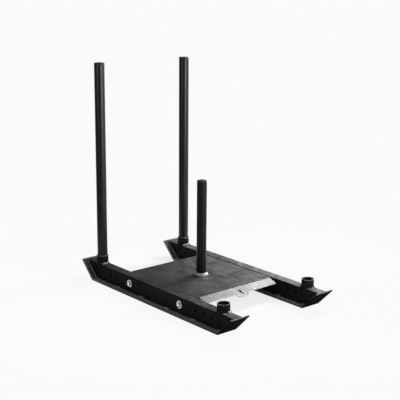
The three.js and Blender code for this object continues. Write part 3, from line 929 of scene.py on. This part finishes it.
def make_deck():
    low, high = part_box("deck_plate")
    deck = object_from("deck_plate_fine", deck_sheet(low, high))
    shell = deck.modifiers.new("thickness", "SOLIDIFY")
    shell.thickness = DECK_THICKNESS
    shell.offset = -1 if deck.data.polygons[0].normal.z > 0 else 1
    shell.use_even_offset = True
    settle(deck)
    reach = SLOT_WIDTH / 2
    ends = (SLOT_START + reach, SLOT_START + SLOT_LENGTH - reach)
    stadium = arc(Vector((ends[0], 0)), reach, math.pi / 2, 3 * math.pi / 2, CORNER_STEPS * 2)
    stadium += arc(Vector((ends[1], 0)), reach, -math.pi / 2, math.pi / 2, CORNER_STEPS * 2)
    slot = prism(stadium, -2 * DECK_THICKNESS, DECK_THICKNESS, "Z")
    tilt = Matrix.Translation((DECK_LENGTH / 2, 0, high.z)) @ Matrix.Rotation(LIP_TILT, 4, "Y")
    bmesh.ops.transform(slot, matrix=tilt, verts=slot.verts)
    cutters = [slot]
    for end_name in ENDS:
        for side_name, side in SIDES.items():
            bolt = middle(f"washer_outer_{end_name}_{side_name}")
            ring = circle(Vector((bolt.x, bolt.z)), BOLT_BORE / 2, SMALL_ROUND)
            face = side * high.y
            cutters.append(prism(ring, face - 2 * DECK_THICKNESS, face + DECK_THICKNESS, "Y"))
    combine(deck, cutters, "DIFFERENCE")
    soften(deck, PLATE_EDGE)
    show(deck, DECK_COAT, ["deck_plate"])


def refine(node, look, width):
    """A finer copy of a node's own mesh, with its flat faces joined and its edges rounded."""
    bm = bmesh.new()
    bm.from_mesh(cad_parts[node].data)
    bmesh.ops.remove_doubles(bm, verts=bm.verts, dist=SAME_POINT)
    bmesh.ops.dissolve_limit(bm, angle_limit=FLAT_ANGLE, verts=bm.verts, edges=bm.edges)
    obj = object_from(node + "_fine", bm)
    soften(obj, width)
    show(obj, look, [node])


# Post for the weight plates.

def make_post():
    low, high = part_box("plate_post")
    outer = (high.x - low.x) / 2
    turned_piece("plate_post", tube(outer - POST_WALL, outer, low.z, high.z), POST_COAT)
    foot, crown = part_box("post_collar")
    inner = outer + SEAT_GAP
    turned_piece("post_collar", lathe_outline([
        (inner, foot.z, 0), (crown.x, foot.z, CUT_EDGE), (crown.x, foot.z + COLLAR_RIM, RIM_EDGE),
        (inner + COLLAR_LAND, crown.z, CUT_EDGE), (inner, crown.z, 0),
    ]), COLLAR_HIGHLIGHT_COAT)
    cap_low, cap_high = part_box("post_cap")
    plug = outer - POST_WALL - SEAT_GAP
    turned_piece("post_cap", lathe_outline(cap_outline(
        cap_low.z, high.z + SEAT_GAP, plug, outer, [(outer, cap_high.z, POST_CAP_RADIUS), (0, cap_high.z, 0)],
    )), PLASTIC)


# Deck bolts.

def hexagon(flats, low, high, chamfer_low):
    """A hexagon bar with the corners turned off at its top, and at its bottom if asked."""
    across = flats / math.cos(math.pi / 6) / 2
    bar = object_from("bar", prism(circle(Vector((0, 0)), across, 6), low, high, "Z"))
    wide = across + HEAD_CHAMFER
    foot = [(flats / 2, low), (wide, low + HEAD_CHAMFER)] if chamfer_low else [(wide, low)]
    corners = [(0, low)] + foot + [(wide, high - HEAD_CHAMFER), (flats / 2, high), (0, high)]
    combine(bar, [lathe(corners)], "INTERSECT")
    bm = bmesh.new()
    bm.from_mesh(bar.data)
    bpy.data.objects.remove(bar)
    return bm


def across_rail(x, z, side):
    """From a piece drawn on the Z axis to its place on a bolt's line, with +Z turned outwards."""
    return Matrix.Translation((x, 0, z)) @ Matrix.Rotation(-side * math.pi / 2, 4, "X")


def make_bolt(end_name, side_name):
    label = f"{end_name}_{side_name}"
    side = SIDES[side_name]

    def span(node):
        """Where the node starts and ends on the bolt's line, counted outwards from the sled's middle."""
        low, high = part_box(node)
        return tuple(sorted((side * low.y, side * high.y)))

    washer = middle("washer_outer_" + label)
    line = across_rail(washer.x, washer.z, side)
    bore = BOLT_BORE / 2
    for node, edge in (("washer_outer_", CUT_EDGE), ("washer_inner_", CUT_EDGE), ("spacer_sleeve_", 0)):
        low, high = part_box(node + label)
        outer = (high.x - low.x) / 2
        near, far = span(node + label)
        turned_piece(node + label, lathe_outline([
            (bore, near, edge), (outer, near, edge), (outer, far, edge), (bore, far, edge),
        ]), ZINC, matrix=line)
    low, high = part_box("deck_bolt_" + label)
    tip, crown = span("deck_bolt_" + label)
    seat = span("washer_outer_" + label)[1] + SEAT_GAP
    flats = min(high.x - low.x, high.z - low.z)
    head = hexagon(flats, seat, crown, False)
    shank = SHANK_DIAMETER / 2
    root = shank - THREAD_DEPTH
    profile = [(0, tip), (root, tip)]
    turns = int(THREAD_LENGTH / THREAD_PITCH)
    for i in range(turns):
        foot = tip + (i + 0.5) * THREAD_PITCH
        profile += [(shank, foot), (root, foot + THREAD_PITCH / 2)]
    below_head = seat - SEAT_GAP / 3
    profile += [(shank, tip + THREAD_LENGTH + THREAD_PITCH), (shank, below_head), (0, below_head)]
    bolt = object_from(f"deck_bolt_{label}_fine", merged([head, lathe(profile, SMALL_ROUND)]))
    bolt.data.transform(line)
    soften(bolt, CUT_EDGE / 2)
    show(bolt, ZINC, ["deck_bolt_" + label])
    near, far = span("lock_nut_" + label)
    nut = object_from(f"lock_nut_{label}_fine", hexagon(flats, near, far, True))
    ring = circle(Vector((0, 0)), shank + SEAT_GAP, SMALL_ROUND)
    combine(nut, [prism(ring, near - OVERRUN, far + OVERRUN, "Z")], "DIFFERENCE")
    nut.data.transform(line)
    soften(nut, CUT_EDGE / 2)
    show(nut, ZINC, ["lock_nut_" + label])


for side_name in SIDES:
    make_ski(side_name)
    make_rail(side_name)
    make_pole(side_name)
    for end_name in ENDS:
        make_socket(end_name, side_name)
        make_bolt(end_name, side_name)
make_deck()
refine("deck_stiffener", POWDER, CUT_EDGE)
make_post()


# Floor, background, camera and light.

def make_world():
    """White behind the sled. What the coats mirror is greyer above the horizon and dim out in the room."""
    world = bpy.data.worlds.new("studio")
    bpy.context.scene.world = world
    world.use_nodes = True
    nodes = Nodes(world.node_tree)
    nodes.tree.nodes.clear()
    rays = nodes.add("ShaderNodeLightPath").outputs
    seen = nodes.largest(rays["Is Camera Ray"], rays["Is Glossy Ray"], rays["Is Transmission Ray"])
    outwards = nodes.add("ShaderNodeTexCoord").outputs["Generated"]
    ceiling = nodes.ranged(nodes.parts_of(outwards)["Z"], CEILING_RAMP, 1, CEILING_SHARE, smooth=True)
    room = nodes.ranged(nodes.reach(outwards, ROOM_DIRECTION), ROOM_RAMP, 1, ROOM_SHARE, smooth=True)
    strength = nodes.largest(nodes.product(ceiling, room), rays["Is Camera Ray"])
    lit = nodes.add("ShaderNodeBackground", Color=colour(1, 1, 1), Strength=WORLD_STRENGTH)
    shown = nodes.add("ShaderNodeBackground", Color=colour(*BACKGROUND), Strength=strength)
    nodes.end_in("ShaderNodeOutputWorld", seen, lit, shown)


def make_floor():
    """A pale floor that keeps a faint shadow near the sled and meets the background without a line.

    The camera sees it as white with a share of its shadow, most of it between the skis. Under the deck, which
    shows only through the tow slot and beside the lip, it keeps all of its shadow, and a painted shadow makes
    it nearly black.
    """
    bm = bmesh.new()
    bmesh.ops.create_grid(bm, x_segments=1, y_segments=1, size=FLOOR_HALF)
    floor = object_from("floor", bm)
    material = bpy.data.materials.new("floor")
    material.use_nodes = True
    nodes = Nodes(material.node_tree)
    nodes.tree.nodes.clear()
    rays = nodes.add("ShaderNodeLightPath").outputs
    mirrored = nodes.largest(rays["Is Glossy Ray"], rays["Is Transmission Ray"])
    place = nodes.add("ShaderNodeTexCoord").outputs["Object"]
    where = nodes.parts_of(place)
    x, y = where["X"], where["Y"]
    near = nodes.ranged(nodes.length_of(place), NEAR_RAMP, 1, 0, smooth=True)
    shaded = nodes.product(nodes.ranged(nodes.size_of(y), SHADE_ACROSS, 1, OPEN_SHARE, smooth=True),
                           nodes.ranged(x, SHADE_AHEAD, 1, OPEN_SHARE, smooth=True))
    painted_shadow_under_deck = nodes.product(nodes.math("LESS_THAN", nodes.size_of(x), UNDER_DECK_HALF_LENGTH),
                               nodes.math("LESS_THAN", nodes.size_of(y), UNDER_DECK_HALF_WIDTH))
    shadow = nodes.product(shaded, FLOOR_SHADOW_SHARE)
    painted = nodes.product(near, nodes.largest(mirrored, shadow, painted_shadow_under_deck))
    white = nodes.math("SUBTRACT", 1, painted)
    plain = nodes.product(nodes.largest(rays["Is Camera Ray"], mirrored), white)
    tone = nodes.mixed(mirrored, colour(*FLOOR_PAINT), colour(*MIRRORED_PAINT))
    # Painted shadow: under the deck the floor is painted nearly black, for every ray.
    tone = nodes.mixed(painted_shadow_under_deck, tone, colour(*UNDER_DECK_PAINTED_SHADOW))
    room = nodes.ranged(nodes.reach(place, ROOM_DIRECTION), FLOOR_ROOM_RAMP, 0, 1 - ROOM_SHARE, smooth=True)
    dimming = nodes.math("ADD", nodes.product(y, DIMMING_PER_METRE), NEAR_DIMMING)
    dimming = nodes.largest(nodes.product(dimming, near, shaded), nodes.product(mirrored, room))
    paint = nodes.add("ShaderNodeBsdfDiffuse", Color=tone)
    glow = nodes.add("ShaderNodeEmission", Color=colour(*BACKGROUND),
                     Strength=nodes.math("SUBTRACT", 1, dimming))
    nodes.end_in("ShaderNodeOutputMaterial", plain, paint, glow)
    floor.data.materials.append(material)


def softbox(name, direction, distance, width, height, radiance, aim):
    """A lamp in a direction from what it lights. Radiance 1 makes it as bright as white."""
    data = bpy.data.lights.new(name, "AREA")
    data.shape = "RECTANGLE"
    data.size = width
    data.size_y = height
    data.energy = WHITE_POWER * radiance * width * height
    lamp = bpy.data.objects.new(name, data)
    bpy.context.scene.collection.objects.link(lamp)
    away = Vector(direction).normalized()
    turn = away.to_track_quat("Z", "Y").to_matrix().to_4x4()
    lamp.matrix_world = Matrix.Translation(Vector(aim) + away * distance) @ turn


def make_camera():
    data = bpy.data.cameras.new("camera")
    data.sensor_fit = "HORIZONTAL"
    data.sensor_width = CAMERA_SENSOR
    data.lens = CAMERA_LENS
    data.clip_end = 4 * FLOOR_HALF
    camera = bpy.data.objects.new("camera", data)
    bpy.context.scene.collection.objects.link(camera)
    ahead = Vector(CAMERA_AHEAD).normalized()
    right = Vector(CAMERA_RIGHT)
    right = (right - ahead * right.dot(ahead)).normalized()
    turn = Matrix((right, right.cross(ahead), -ahead)).transposed()
    camera.matrix_world = Matrix.Translation(CAMERA_EYE) @ turn.to_4x4()
    bpy.context.scene.camera = camera


make_world()
make_floor()
make_camera()
for lamp in LAMPS:
    softbox(*lamp)
bpy.context.scene.view_settings.view_transform = "Standard"
